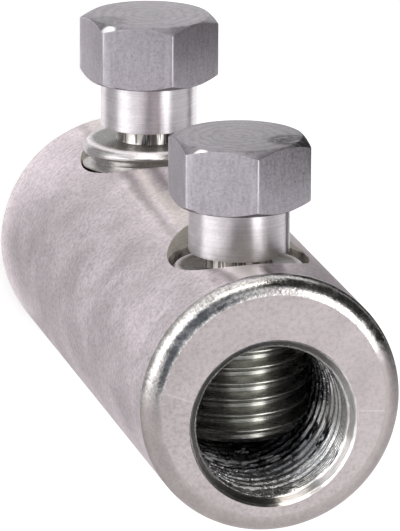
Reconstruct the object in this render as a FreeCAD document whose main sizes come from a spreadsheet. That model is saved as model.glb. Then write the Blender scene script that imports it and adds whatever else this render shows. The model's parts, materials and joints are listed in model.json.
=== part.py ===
import FreeCAD, Part

import math
import os

import Sketcher

# Screw splice sleeve for joining two cable conductors, in millimetres.
# A thick turned sleeve takes one conductor in each end. Two shear bolts, screwed through the thick
# side of its wall, clamp them. The sleeve stands on its rear end: its outside axis is +Z, the origin
# is the centre of the rear end face, the front mouth is up and the bolts point along -Y.

DIMENSIONS = {
    # Sleeve
    "sleeve_diameter": 26.5,
    "sleeve_length": 68.0,
    "end_rounding": 1.8,
    "bore_diameter": 15.5,
    "bore_offset": 1.8,
    "mouth_chamfer": 0.9,
    "entry_length": 3.0,
    "grip_groove_depth": 0.25,
    "stop_thickness": 3.0,
    "bolt_end_distance": 14.5,
    # The cone that opens each tapped hole: across it at the sleeve's top line, the tool, half its angle
    "countersink_diameter": 18.4,
    "countersink_tool_diameter": 20.0,
    "countersink_angle": 45.0,
    # Thread of the bolts, as plain cylinders, and of the two tapped holes they screw into
    "thread_diameter": 14.0,
    "thread_clearance": 0.05,
    # Shear bolt, from its head down to its tip
    "head_across_flats": 13.0,
    "head_height": 6.85,
    "head_face_diameter": 12.6,
    "head_chamfer_angle": 30.0,
    "shank_diameter": 10.2,
    "shank_length": 5.0,
    "neck_diameter": 6.8,
    "neck_length": 1.6,
    "body_length": 17.0,
    "body_shoulder_chamfer": 0.6,
    "body_tip_chamfer": 1.5,
    # How far each bolt still stands out: from the sleeve's outside to the underside of its head
    "front_bolt_standoff": 4.0,
    "rear_bolt_standoff": 7.4,
    # How far each hexagon is turned about its bolt's axis, in degrees
    "front_hex_turn": 30.0,
    "rear_hex_turn": 36.0,
}

# Lengths that several profiles share, worked out from the sheet
SLEEVE_RADIUS = "dims.sleeve_diameter / 2"
BORE_WALL = "dims.bore_offset + dims.bore_diameter / 2"
BORE_DEPTH = "(dims.sleeve_length - dims.stop_thickness) / 2"
FRONT_HOLE_HEIGHT = "dims.sleeve_length - dims.bolt_end_distance"
TAPPED_RADIUS = "dims.thread_diameter / 2 + dims.thread_clearance"
HEX_CORNER_RADIUS = "dims.head_across_flats / 2 / cos(30)"
HEAD_UNDERSIDE = "dims.body_length + dims.neck_length + dims.shank_length"

HEX_SIDES = 6
NEAR = 1e-6


def make_sheet(doc):
    """The spreadsheet of driving dimensions, one alias a row."""
    sheet = doc.addObject("Spreadsheet::Sheet", "dims")
    for row, (alias, value) in enumerate(DIMENSIONS.items(), start=1):
        sheet.set(f"A{row}", alias)
        sheet.set(f"B{row}", str(value))
        sheet.setAlias(f"B{row}", alias)
    doc.recompute()
    return sheet


def new_sketch(body, name, role):
    """A sketch on one of the body's own origin planes."""
    sketch = body.newObject("Sketcher::SketchObject", name)
    plane = next(feature for feature in body.Origin.OriginFeatures if feature.Role == role)
    sketch.AttachmentSupport = [(plane, "")]
    sketch.MapMode = "FlatFace"
    return sketch


def value_of(thing, expression):
    return float(thing.evalExpression(expression))


def bind(sketch, kind, places, expression):
    """One dimensional constraint, its value taken from the sheet."""
    value = value_of(sketch, expression)
    index = sketch.addConstraint(Sketcher.Constraint(kind, *places, value))
    sketch.setExpression(f"Constraints[{index}]", expression)


def closed_profile(sketch, corners):
    """A closed outline of straight lines through corners, each a pair of expressions for x and y.
    The expression "0" puts a corner on the sketch's own axis. The lines come first in the sketch."""
    points = [FreeCAD.Vector(value_of(sketch, x), value_of(sketch, y), 0) for x, y in corners]
    following = points[1:] + points[:1]
    for start, end in zip(points, following):
        sketch.addGeometry(Part.LineSegment(start, end), False)
    for i in range(len(points)):
        sketch.addConstraint(Sketcher.Constraint("Coincident", i, 2, (i + 1) % len(points), 1))
    for i, (x, y) in enumerate(corners):
        for kind, expression, axis in (("DistanceX", x, -2), ("DistanceY", y, -1)):
            if expression == "0":
                sketch.addConstraint(Sketcher.Constraint("PointOnObject", i, 1, axis))
            else:
                bind(sketch, kind, (-1, 1, i, 1), expression)
    return points


def turn(body, kind, name, sketch, axis):
    """A full turn of a sketch about one of its own axes: a Revolution adds and a Groove cuts."""
    feature = body.newObject(kind, name)
    feature.Profile = sketch
    feature.ReferenceAxis = (sketch, [axis])
    feature.Angle = 360.0
    sketch.Visibility = False
    body.Document.recompute()
    return feature


def cut(body, name, sketch, length, reverse):
    """A pocket that has to remove material, whichever way its sketch faces."""
    before = body.Shape.Volume
    pocket = body.newObject("PartDesign::Pocket", name)
    pocket.Profile = sketch
    pocket.Type = "Length"
    pocket.Reversed = reverse
    pocket.setExpression("Length", length)
    sketch.Visibility = False
    body.Document.recompute()
    if body.Shape.Volume > before - NEAR:
        raise ValueError(f"{name} cuts nothing")
    return pocket


def edges_where(shape, test):
    """Names of the edges that pass the test at every point sampled along them."""
    edges = enumerate(shape.Edges, start=1)
    return [f"Edge{i}" for i, edge in edges if all(test(p) for p in edge.discretize(Number=9))]


def turned_cut(body, name, corners):
    """A cut turned about the line that joins the first and the last corner of its profile."""
    sketch = new_sketch(body, name + "_profile", "YZ_Plane")
    points = closed_profile(sketch, corners)
    axis = sketch.addGeometry(Part.LineSegment(points[0], points[-1]), True)
    sketch.addConstraint(Sketcher.Constraint("Coincident", axis, 1, 0, 1))
    sketch.addConstraint(Sketcher.Constraint("Coincident", axis, 2, len(points) - 1, 1))
    return turn(body, "PartDesign::Groove", name, sketch, "Axis0")


def bore_groove(body, name, heights):
    """One conductor bore, turned about its own axis, which lies off the sleeve's axis on the side away
    from the bolts. Past a plain entry its wall goes out to the root of the fine grip grooves. heights
    holds those of its mouth, of its chamfer's inner edge, of its entry's end and of its floor."""
    mouth, chamfer, entry, floor = heights
    corners = [
        ("dims.bore_offset", mouth),
        (BORE_WALL + " + dims.mouth_chamfer", mouth),
        (BORE_WALL, chamfer),
        (BORE_WALL, entry),
        (BORE_WALL + " + dims.grip_groove_depth", entry),
        (BORE_WALL + " + dims.grip_groove_depth", floor),
        ("dims.bore_offset", floor),
    ]
    return turned_cut(body, name, corners)


def countersink(body, name, height):
    """The cone that opens one tapped hole. In the round sleeve it reaches furthest along the top line,
    before and behind the bolt, and only just breaks the rim at the hole's two sides."""
    across = "dims.countersink_diameter / 2"
    tool = "dims.countersink_tool_diameter / 2"
    slope = "tan(dims.countersink_angle)"
    point = f"{across} / {slope} - {SLEEVE_RADIUS}"
    base = f"({across} - {tool}) / {slope} - {SLEEVE_RADIUS}"
    corners = [(point, height), (base, f"{height} + {tool}"), (base, height)]
    return turned_cut(body, name, corners)


def make_sleeve(doc, sheet):
    """The one-piece sleeve: turned outside and rounded at both ends, bored off centre from each end up
    to a middle stop, and tapped twice through the thick side of its wall."""
    body = doc.addObject("PartDesign::Body", "sleeve")
    radius = value_of(sheet, SLEEVE_RADIUS)
    length = sheet.sleeve_length

    outside = new_sketch(body, "outside_profile", "XZ_Plane")
    corners = [
        ("0", "0"),
        (SLEEVE_RADIUS, "0"),
        (SLEEVE_RADIUS, "dims.sleeve_length"),
        ("0", "dims.sleeve_length"),
    ]
    closed_profile(outside, corners)
    bar = turn(body, "PartDesign::Revolution", "turned_bar", outside, "V_Axis")

    rounding = body.newObject("PartDesign::Fillet", "rounded_ends")
    ends = edges_where(
        bar.Shape,
        lambda p: abs(math.hypot(p.x, p.y) - radius) < NEAR and min(abs(p.z), abs(p.z - length)) < NEAR,
    )
    rounding.Base = (bar, ends)
    rounding.setExpression("Radius", "dims.end_rounding")
    doc.recompute()

    depths = ("dims.mouth_chamfer", "dims.entry_length", BORE_DEPTH)
    bore_groove(body, "rear_bore", ("0", *depths))
    front_heights = [f"dims.sleeve_length - {depth}" for depth in depths]
    bore_groove(body, "front_bore", ("dims.sleeve_length", *front_heights))

    plan = new_sketch(body, "bolt_hole_plan", "XZ_Plane")
    heights = ("dims.bolt_end_distance", FRONT_HOLE_HEIGHT)
    for i, height in enumerate(heights):
        centre = FreeCAD.Vector(0, value_of(plan, height), 0)
        circle = Part.Circle(centre, FreeCAD.Vector(0, 0, 1), value_of(plan, TAPPED_RADIUS))
        plan.addGeometry(circle, False)
        plan.addConstraint(Sketcher.Constraint("PointOnObject", i, 3, -2))
        bind(plan, "DistanceY", (-1, 1, i, 3), height)
        bind(plan, "Radius", (i,), TAPPED_RADIUS)
    cut(body, "tapped_holes", plan, "dims.sleeve_diameter", True)
    countersink(body, "rear_countersink", "dims.bolt_end_distance")
    countersink(body, "front_countersink", FRONT_HOLE_HEIGHT)
    return body


def make_bolt(doc, name, hex_turn, standoff, height):
    """One shear bolt, a single turned piece: a hexagon head chamfered on both faces, plain shank, shear
    neck and threaded body. Its own +Z runs from its tip to its head."""
    body = doc.addObject("PartDesign::Body", name)
    thread_radius = "dims.thread_diameter / 2"
    neck_radius = "dims.neck_diameter / 2"
    shank_radius = "dims.shank_diameter / 2"
    face_radius = "dims.head_face_diameter / 2"
    head_top = HEAD_UNDERSIDE + " + dims.head_height"
    slope = f"({HEX_CORNER_RADIUS} - {face_radius}) * tan(dims.head_chamfer_angle)"

    turned = new_sketch(body, "turned_profile", "XZ_Plane")
    corners = [
        ("0", "0"),
        (thread_radius + " - dims.body_tip_chamfer", "0"),
        (thread_radius, "dims.body_tip_chamfer"),
        (thread_radius, "dims.body_length - dims.body_shoulder_chamfer"),
        (thread_radius + " - dims.body_shoulder_chamfer", "dims.body_length"),
        (neck_radius, "dims.body_length"),
        (neck_radius, "dims.body_length + dims.neck_length"),
        (shank_radius, "dims.body_length + dims.neck_length"),
        (shank_radius, HEAD_UNDERSIDE),
        (face_radius, HEAD_UNDERSIDE),
        (HEX_CORNER_RADIUS, f"{HEAD_UNDERSIDE} + {slope}"),
        (HEX_CORNER_RADIUS, f"{head_top} - {slope}"),
        (face_radius, head_top),
        ("0", head_top),
    ]
    closed_profile(turned, corners)
    turn(body, "PartDesign::Revolution", "turned_blank", turned, "V_Axis")

    # A ring whose inner edge is the hexagon: what the milling of the flats takes away
    flats = new_sketch(body, "flats_profile", "XY_Plane")
    flats.setExpression(".AttachmentOffset.Base.z", HEAD_UNDERSIDE)
    flats.setExpression(".AttachmentOffset.Rotation.Angle", f"{hex_turn} * 1 deg")
    radius = value_of(flats, HEX_CORNER_RADIUS)
    angles = [math.tau * i / HEX_SIDES for i in range(HEX_SIDES)]
    points = [FreeCAD.Vector(radius * math.cos(a), radius * math.sin(a), 0) for a in angles]
    for start, end in zip(points, points[1:] + points[:1]):
        flats.addGeometry(Part.LineSegment(start, end), False)
    for i in range(HEX_SIDES):
        flats.addConstraint(Sketcher.Constraint("Coincident", i, 2, (i + 1) % HEX_SIDES, 1))
        if i:
            flats.addConstraint(Sketcher.Constraint("Equal", 0, i))
    guide = flats.addGeometry(Part.Circle(FreeCAD.Vector(), FreeCAD.Vector(0, 0, 1), radius), True)
    flats.addConstraint(Sketcher.Constraint("Coincident", guide, 3, -1, 1))
    for i in range(HEX_SIDES):
        flats.addConstraint(Sketcher.Constraint("PointOnObject", i, 1, guide))
    flats.addConstraint(Sketcher.Constraint("PointOnObject", 0, 1, -1))
    bind(flats, "Radius", (guide,), HEX_CORNER_RADIUS)
    outer = flats.addGeometry(Part.Circle(FreeCAD.Vector(), FreeCAD.Vector(0, 0, 1), 2 * radius), False)
    flats.addConstraint(Sketcher.Constraint("Coincident", outer, 3, -1, 1))
    bind(flats, "Radius", (outer,), "dims.head_across_flats")
    cut(body, "milled_flats", flats, "dims.head_height", True)

    # The tip's place below the sleeve's outside follows from how far the head stands out
    body.Placement.Rotation = FreeCAD.Rotation(FreeCAD.Vector(1, 0, 0), 90)
    body.setExpression(".Placement.Base.y", f"{HEAD_UNDERSIDE} - {SLEEVE_RADIUS} - {standoff}")
    body.setExpression(".Placement.Base.z", height)
    doc.recompute()
    return body


def check(doc, parts):
    """Stop on any object that failed to compute, and on any piece that is no sound single solid."""
    for thing in doc.Objects:
        if "Invalid" in thing.State or "Error" in thing.State:
            raise ValueError(f"{thing.Name} failed: {thing.State}")
    for part in parts:
        shape = part.Shape
        if shape.isNull() or not shape.isValid() or len(shape.Solids) != 1:
            raise ValueError(f"{part.Label} is not one valid solid")


def main():
    doc = FreeCAD.newDocument("screw_splice_sleeve")
    sheet = make_sheet(doc)
    parts = [
        make_sleeve(doc, sheet),
        make_bolt(
            doc,
            "front_shear_bolt",
            "dims.front_hex_turn",
            "dims.front_bolt_standoff",
            FRONT_HOLE_HEIGHT,
        ),
        make_bolt(
            doc,
            "rear_shear_bolt",
            "dims.rear_hex_turn",
            "dims.rear_bolt_standoff",
            "dims.bolt_end_distance",
        ),
    ]
    doc.recompute()
    check(doc, parts)
    os.makedirs("parts", exist_ok=True)
    for part in parts:
        part.Shape.exportStep(f"parts/{part.Label}.step")
        box = part.Shape.BoundBox
        print(f"{part.Label}: {part.Shape.Volume / 1000:.3f} cm3, y {box.YMin:.2f} to {box.YMax:.2f}")


main()
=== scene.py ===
import json
import math
import random

import bmesh
import bpy
import numpy as np
from mathutils import Matrix, Vector


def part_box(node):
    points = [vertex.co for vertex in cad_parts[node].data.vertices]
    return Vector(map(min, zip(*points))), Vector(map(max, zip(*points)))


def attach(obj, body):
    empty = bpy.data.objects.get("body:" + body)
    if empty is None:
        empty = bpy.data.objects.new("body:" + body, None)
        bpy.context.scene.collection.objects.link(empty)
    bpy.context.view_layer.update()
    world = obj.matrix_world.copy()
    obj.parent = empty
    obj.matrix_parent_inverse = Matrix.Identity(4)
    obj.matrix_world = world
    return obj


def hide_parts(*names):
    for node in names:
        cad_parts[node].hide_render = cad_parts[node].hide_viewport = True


# Screw splice sleeve with two shear bolts, in metres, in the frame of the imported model: the sleeve's
# outside axis is +Z, its rear end stands on z = 0 and the bolts point along -Y.

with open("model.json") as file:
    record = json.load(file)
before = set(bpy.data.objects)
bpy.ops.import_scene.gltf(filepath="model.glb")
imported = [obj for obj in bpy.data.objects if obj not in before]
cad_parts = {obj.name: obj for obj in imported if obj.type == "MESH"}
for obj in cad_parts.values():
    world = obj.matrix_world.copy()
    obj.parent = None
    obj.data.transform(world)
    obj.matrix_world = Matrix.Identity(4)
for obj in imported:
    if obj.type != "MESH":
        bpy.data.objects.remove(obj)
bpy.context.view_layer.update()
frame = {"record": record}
random.seed(7)

MM = 0.001
TURN = 2 * math.pi
FINE = 1e-7
COARSE = 1e-6
MOUNTS = {mount["name"]: mount for mount in frame["record"]["mounts"]}
FRONT_BORE = MOUNTS["front_cable_bore"]

# Sleeve
SLEEVE_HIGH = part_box("sleeve")[1]
SLEEVE_RADIUS = SLEEVE_HIGH.x
SLEEVE_LENGTH = SLEEVE_HIGH.z
SLEEVE_SEGMENTS = 256
END_ROUNDING = 1.8 * MM
ROUNDING_STEPS = 12

# Bores, with their depths measured from the mouth
BORE_CENTRE_Y = FRONT_BORE["pos_m"][1]
BORE_RADIUS = FRONT_BORE["dims"]["r_mm"] * MM
BORE_DEPTH = 32.5 * MM
BORE_SEGMENTS = 160
MOUTH_CHAMFER = 0.9 * MM
MOUTH_EDGE = 0.08 * MM
ENTRY_LENGTH = 3.0 * MM
RIDGE_PITCH = 1.5 * MM
CRISP_RIDGES = 5
GROOVE_DEPTH = 0.25 * MM
TOOL_MARK_START = MOUTH_CHAMFER + 0.05 * MM
TOOL_MARK_END = 10.5 * MM
TOOL_MARK_PITCH = 0.42 * MM
TOOL_MARK_DEPTH = 0.11 * MM

# Tapped holes, with the end of their thread measured from the sleeve's axis
HOLE_SEGMENTS = 144
HOLE_THREAD_END = 8.1 * MM
HOLE_RUN_OUT = 1.2 * MM
COUNTERSINK_RADIUS = 9.2 * MM
COUNTERSINK_TOOL_RADIUS = 10.0 * MM
COUNTERSINK_SEGMENTS = 192

# Shear bolts, with heights measured from the tip
BODIES = {"front_shear_bolt": "front_bolt", "rear_shear_bolt": "rear_bolt"}
HEX_TURNS = {"front_shear_bolt": 30.0, "rear_shear_bolt": 36.0}
BOLT_SEGMENTS = 144
THREAD_RADIUS = 7.0 * MM
THREAD_PITCH = 1.65 * MM
THREAD_DEPTH = 0.61 * THREAD_PITCH
THREAD_PLAY = 0.06 * MM
THREAD_START = -0.45 * MM
THREAD_RUN_OUT = 1.6 * MM
THREAD_END_GAP = 0.8 * MM
THREAD_END_SHARE = 0.15
TIP_CHAMFER = 1.5 * MM
SHOULDER_CHAMFER = 0.6 * MM
BODY_LENGTH = 17.0 * MM
NECK_RADIUS = 3.4 * MM
NECK_TOP = BODY_LENGTH + 1.6 * MM
SHANK_RADIUS = 5.1 * MM
SHANK_TOP = NECK_TOP + 5.0 * MM
HEAD_TOP = SHANK_TOP + 6.85 * MM
HEAD_FLAT_RADIUS = 6.5 * MM
HEAD_FACE_RADIUS = 6.3 * MM
HEAD_CHAMFER_SLOPE = math.tan(math.radians(30))
CORNER_SHARPNESS = 90

# Columns of points beside each corner of the hexagon, in degrees from it, and the span they fill
CORNER_COLUMNS = (-1.3, -0.7, -0.25, 0.0, 0.25, 0.7, 1.3)
CORNER_SPAN = 1.7

# How far the edges above the thread are rounded, in millimetres: the neck's foot and top, the
# shank's foot and top, and the head's under face, lower corner, upper corner and top face
EDGE_CUTS = (0.25, 0.12, 0.12, 0.1, 0.06, 0.07, 0.09, 0.06)
LARGEST_CUT_SHARE = 0.4

# How the thread's depth goes through one pitch, from crest to root and back, as shares of both
THREAD_PROFILE = [
    (0.04, 0.0),
    (0.07, 0.04),
    (0.10, 0.13),
    (0.23, 0.54),
    (0.35, 0.93),
    (0.39, 0.99),
    (0.50, 1.0),
    (0.61, 0.99),
    (0.65, 0.93),
    (0.77, 0.54),
    (0.90, 0.13),
    (0.93, 0.04),
    (0.96, 0.0),
]

# The same for the rings of grooves in the bore, from ridge to root and back: in full near the mouth
# and simpler further in. The flank that faces the mouth is steep.
RIDGE_PROFILE = [
    (0.0, 0.0),
    (0.06, 0.10),
    (0.18, 0.92),
    (0.24, 1.0),
    (0.50, 1.0),
    (0.53, 0.93),
    (0.64, 0.08),
    (0.68, 0.0),
]
INNER_RIDGE_PROFILE = [(0.0, 0.0), (0.20, 1.0), (0.50, 1.0), (0.64, 0.0)]

# And for the fine marks of the boring tool
TOOL_MARK_PROFILE = [(0.0, 0.0), (0.12, 1.0), (0.38, 0.0)]

# Clusters of grease drops in the front bore: angle about the bore from +X towards +Y in degrees,
# depth from the mouth and size of a drop in millimetres
DROP_CLUSTERS = (
    (66, 13.5, 0.20),
    (76, 12.5, 0.19),
    (84, 12.0, 0.17),
    (95, 16.0, 0.18),
    (108, 12.0, 0.17),
    (75, 3.0, 0.17),
    (60, 12.0, 0.19),
)
DROPS_IN_CLUSTER = 8
DROP_REACH = BORE_RADIUS + 0.05 * MM

# Margins between the zones of a piece's surface
WALL_MARGIN = 0.04 * MM
SIDE_MARGIN = 0.1 * MM
SHOULDER_MARGIN = 0.05 * MM
HEAD_MARGIN = 0.2 * MM

# Marks, in metres: the middle of the stripe painted bright along the side, a painted highlight with
# painted shade beside it, scratches from place to place (x, y) of the front face, and on the heads the
# places (x, z) of a dark smudge, with its strength, and of a painted glint
PAINTED_STRIPE_X = 3.8 * MM
FACE_SCRATCHES = (
    ((0.01134, -0.00218), (0.00860, -0.00106)),
    ((-0.00853, 0.00104), (-0.01142, 0.00124)),
)
SMUDGES = {"front_shear_bolt": (-0.0045, 0.0563, 0.9), "rear_shear_bolt": (0.0050, 0.0165, 0.4)}
PAINTED_GLINTS = {"front_shear_bolt": (0.0053, 0.0583), "rear_shear_bolt": (0.0055, 0.0190)}


def smooth_step(x):
    x = np.clip(x, 0.0, 1.0)
    return x * x * (3 - 2 * x)


def new_object(name, vertices, faces):
    mesh = bpy.data.meshes.new(name)
    mesh.from_pydata([tuple(v) for v in vertices], [], faces)
    mesh.validate()
    obj = bpy.data.objects.new(name, mesh)
    bpy.context.scene.collection.objects.link(obj)
    return obj


def weld(obj, distance=FINE):
    """Joins points that coincide, drops faces with no area left and turns all normals outward."""
    mesh = bmesh.new()
    mesh.from_mesh(obj.data)
    bmesh.ops.remove_doubles(mesh, verts=mesh.verts, dist=distance)
    bmesh.ops.dissolve_degenerate(mesh, edges=mesh.edges, dist=distance)
    bmesh.ops.recalc_face_normals(mesh, faces=mesh.faces)
    mesh.to_mesh(obj.data)
    mesh.free()


def shade(obj, degrees):
    """Smooth shading, with edges sharper than the angle kept sharp."""
    obj.data.shade_smooth()
    obj.data.set_sharp_from_angle(angle=math.radians(degrees))


def apply_modifiers(obj):
    graph = bpy.context.evaluated_depsgraph_get()
    made = bpy.data.meshes.new_from_object(obj.evaluated_get(graph))
    obj.modifiers.clear()
    obj.data = made


def subtract(obj, cutter):
    """Cuts one closed mesh out of another and deletes the cutter."""
    modifier = obj.modifiers.new(cutter.name, "BOOLEAN")
    modifier.operation = "DIFFERENCE"
    modifier.solver = "EXACT"
    modifier.object = cutter
    apply_modifiers(obj)
    bpy.data.objects.remove(cutter)


def grid_faces(rows, columns, seam_shift=0):
    """Quads of a tube of rows by columns. Past the last column a row goes on as the row that lies
    seam_shift higher, which makes a helix of it."""
    faces = []
    for row in range(rows - 1):
        for column in range(columns):
            following = (column + 1) % columns
            shift = seam_shift if following == 0 else 0
            low = min(row + shift, rows - 1)
            high = min(row + 1 + shift, rows - 1)
            quad = (
                row * columns + column,
                low * columns + following,
                high * columns + following,
                (row + 1) * columns + column,
            )
            if len(set(quad)) > 2:
                faces.append(tuple(dict.fromkeys(quad)))
    return faces


def lathe(name, profile, segments, centre=(0.0, 0.0)):
    """A closed solid turned about an axis along Z, from an open profile of (radius, height) pairs
    that starts and ends on that axis."""
    angles = np.arange(segments) * TURN / segments
    rows = profile[1:-1]
    vertices = [
        (centre[0] + radius * math.cos(a), centre[1] + radius * math.sin(a), height)
        for radius, height in rows
        for a in angles
    ]
    faces = grid_faces(len(rows), segments)
    for pole, row in ((profile[0], 0), (profile[-1], len(rows) - 1)):
        vertices.append((centre[0], centre[1], pole[1]))
        middle = len(vertices) - 1
        start = row * segments
        faces += [(middle, start + i, start + (i + 1) % segments) for i in range(segments)]
    obj = new_object(name, vertices, faces)
    weld(obj)
    return obj


def arc(centre, radius, start, end, steps):
    """Points of an arc in a profile, with its angles in degrees."""
    angles = np.radians(np.linspace(start, end, steps + 1))
    return [(centre[0] + radius * math.cos(a), centre[1] + radius * math.sin(a)) for a in angles]


def groove_depth(phase):
    """Share of the thread's depth at a phase of its pitch, which is 0 on the crest."""
    phases = [p for p, _ in THREAD_PROFILE]
    depths = [d for _, d in THREAD_PROFILE]
    return np.interp(phase, phases, depths, left=0.0, right=0.0)


def helix_rows(angles, low, high, radius_at):
    """Rows of (radius, height) points on a right-hand thread between two heights, and the number of
    rows in a pitch. Every row follows one line of the thread, and its points beyond an end stay on
    that end."""
    phases = [p for p, _ in THREAD_PROFILE]
    turns = math.ceil((high - low) / THREAD_PITCH) + 2
    first = math.floor((low - THREAD_START) / THREAD_PITCH) - 1
    rows = []
    for turn in range(first, first + turns + 1):
        for phase in phases:
            height = THREAD_START + (turn + phase + angles / TURN) * THREAD_PITCH
            inside = np.clip(height, low, high)
            depth = groove_depth(((inside - THREAD_START) / THREAD_PITCH - angles / TURN) % 1.0)
            rows.append(np.stack([radius_at(depth, inside), inside], -1))
    return rows, len(phases)


def bolt_angles(turn_degrees):
    """Angles of the bolt's columns: even ones, with more beside the hexagon's corners."""
    even = np.degrees(np.arange(BOLT_SEGMENTS) * TURN / BOLT_SEGMENTS)
    corners = turn_degrees + 60.0 * np.arange(6)
    near = np.concatenate([corners + offset for offset in CORNER_COLUMNS])
    clear = [a for a in even if np.min(np.abs((corners - a + 180) % 360 - 180)) > CORNER_SPAN]
    return np.radians(np.sort(np.concatenate([clear, near]) % 360.0))


def hexagon_radius(angles, turn_degrees):
    """Radius of the hexagon's outline at each angle, its corners slightly rounded."""
    normals = np.radians(turn_degrees + 30.0 + 60.0 * np.arange(6))
    facing = np.clip(np.cos(angles[:, None] - normals[None, :]), 0.0, None)
    total = np.power(facing, CORNER_SHARPNESS).sum(axis=1)
    return HEAD_FLAT_RADIUS / np.power(total, 1 / CORNER_SHARPNESS)


def bolt_place(node):
    """The y of the bolt's tip and the z of its axis."""
    low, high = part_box(node)
    return high.y, (low.z + high.z) / 2


def ring(radius, height, columns):
    """A ring of (radius, height) points. Either may be one value or one for each column."""
    return np.stack([np.broadcast_to(radius, columns), np.broadcast_to(height, columns)], -1)


def soften(rings, cuts):
    """Rounds each ring of a stack by its cut: three rings take its place."""
    made = [rings[0]]
    for before, edge, after, cut in zip(rings, rings[1:], rings[2:], cuts):
        towards = []
        for other in (before, after):
            step = other - edge
            size = np.maximum(np.linalg.norm(step, axis=1, keepdims=True), FINE)
            towards.append(edge + step * np.minimum(cut / size, LARGEST_CUT_SHARE))
        made += [towards[0], (towards[0] + 2 * edge + towards[1]) / 4, towards[1]]
    made.append(rings[-1])
    return made


def threaded_solid(name, node, angles, thread, stacks):
    """A solid on a bolt's axis, in one mesh: its thread, and the stacks of rings that close it. All
    heights are measured from the bolt's tip."""
    rows, rows_in_pitch = thread
    columns = len(angles)
    points = [point for row in rows for point in row]
    faces = grid_faces(len(rows), columns, rows_in_pitch)
    for stack in stacks:
        start = len(points)
        points += [point for row in stack for point in row]
        faces += [tuple(i + start for i in face) for face in grid_faces(len(stack), columns)]
    tip_y, axis_z = bolt_place(node)
    cosines = np.cos(angles)
    sines = np.sin(angles)
    vertices = [
        (radius * cosines[i % columns], tip_y - height, axis_z + radius * sines[i % columns])
        for i, (radius, height) in enumerate(points)
    ]
    solid = new_object(name, vertices, faces)
    weld(solid)
    return solid


def body_radius(depth, height):
    """Radius of the bolt's threaded body, where its thread has a share of its depth. The thread runs
    out towards the shoulder."""
    outline = np.minimum(THREAD_RADIUS - TIP_CHAMFER + height, THREAD_RADIUS)
    outline = np.minimum(outline, THREAD_RADIUS - SHOULDER_CHAMFER + BODY_LENGTH - height)
    left = smooth_step((BODY_LENGTH - THREAD_END_GAP - height) / THREAD_RUN_OUT)
    full = THREAD_END_SHARE + (1 - THREAD_END_SHARE) * left
    return np.minimum(outline, THREAD_RADIUS - THREAD_DEPTH * depth * full)


def make_bolt(node):
    """One shear bolt, from its tip over the helical thread, neck and shank to its head."""
    angles = bolt_angles(HEX_TURNS[node])
    columns = len(angles)
    thread = helix_rows(angles, 0.0, BODY_LENGTH, body_radius)
    rows = thread[0]
    hexagon = hexagon_radius(angles, HEX_TURNS[node])
    slope = (hexagon - HEAD_FACE_RADIUS) * HEAD_CHAMFER_SLOPE
    upper = [
        rows[-1],
        ring(NECK_RADIUS, BODY_LENGTH, columns),
        ring(NECK_RADIUS, NECK_TOP, columns),
        ring(SHANK_RADIUS, NECK_TOP, columns),
        ring(SHANK_RADIUS, SHANK_TOP, columns),
        ring(HEAD_FACE_RADIUS, SHANK_TOP, columns),
        ring(hexagon, SHANK_TOP + slope, columns),
        ring(hexagon, HEAD_TOP - slope, columns),
        ring(HEAD_FACE_RADIUS, HEAD_TOP, columns),
        ring(0.0, HEAD_TOP, columns),
    ]
    tip = [ring(0.0, 0.0, columns), rows[0]]
    stacks = (soften(upper, [cut * MM for cut in EDGE_CUTS]), tip)
    bolt = threaded_solid(node + "_body", node, angles, thread, stacks)
    shade(bolt, 32)
    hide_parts(node)
    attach(bolt, BODIES[node])
    return bolt


def tapped_hole_cutter(node):
    """What the tap takes out of the wall, from inside the bore to outside the sleeve. It is in phase
    with the bolt, and its thread ends below the countersink."""
    axis_height = bolt_place(node)[0]
    inner = axis_height - 1.0 * MM
    outer = axis_height + SLEEVE_RADIUS + 1.5 * MM

    def hole_radius(depth, height):
        full = smooth_step((axis_height + HOLE_THREAD_END - height) / HOLE_RUN_OUT)
        return THREAD_RADIUS + THREAD_PLAY - THREAD_DEPTH * depth * full

    angles = np.arange(HOLE_SEGMENTS) * TURN / HOLE_SEGMENTS
    thread = helix_rows(angles, inner, outer, hole_radius)
    rows = thread[0]
    ends = ([ring(0.0, inner, HOLE_SEGMENTS), rows[0]], [rows[-1], ring(0.0, outer, HOLE_SEGMENTS)])
    return threaded_solid(node + "_tap", node, angles, thread, ends)


def countersink_cutter(node):
    """The cone that opens a tapped hole, with a slope of 45 degrees."""
    point = SLEEVE_RADIUS - COUNTERSINK_RADIUS
    base = point + COUNTERSINK_TOOL_RADIUS
    profile = [(0.0, point), (FINE, point + FINE), (COUNTERSINK_TOOL_RADIUS, base), (0.0, base)]
    cutter = lathe(node + "_countersink", profile, COUNTERSINK_SEGMENTS)
    outward = Matrix.Rotation(math.radians(90), 4, "X")
    cutter.data.transform(Matrix.Translation((0.0, 0.0, bolt_place(node)[1])) @ outward)
    return cutter


def ring_depth(depth, first, last, pitch, profile):
    """Share of a groove's depth at a depth in the bore, for rings that repeat from first to last."""
    turns = math.floor((last - first) / pitch + 0.01)
    phase = (depth - first) / pitch
    inside = (phase > 0) & (phase < turns)
    return np.where(inside, np.interp(phase % 1.0, *zip(*profile), right=0.0), 0.0)


def ring_places(first, last, pitch, profile):
    """Depths of all the points of such rings."""
    turns = math.floor((last - first) / pitch + 0.01)
    return [first + (turn + part) * pitch for turn in range(turns) for part, _ in profile]


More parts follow.
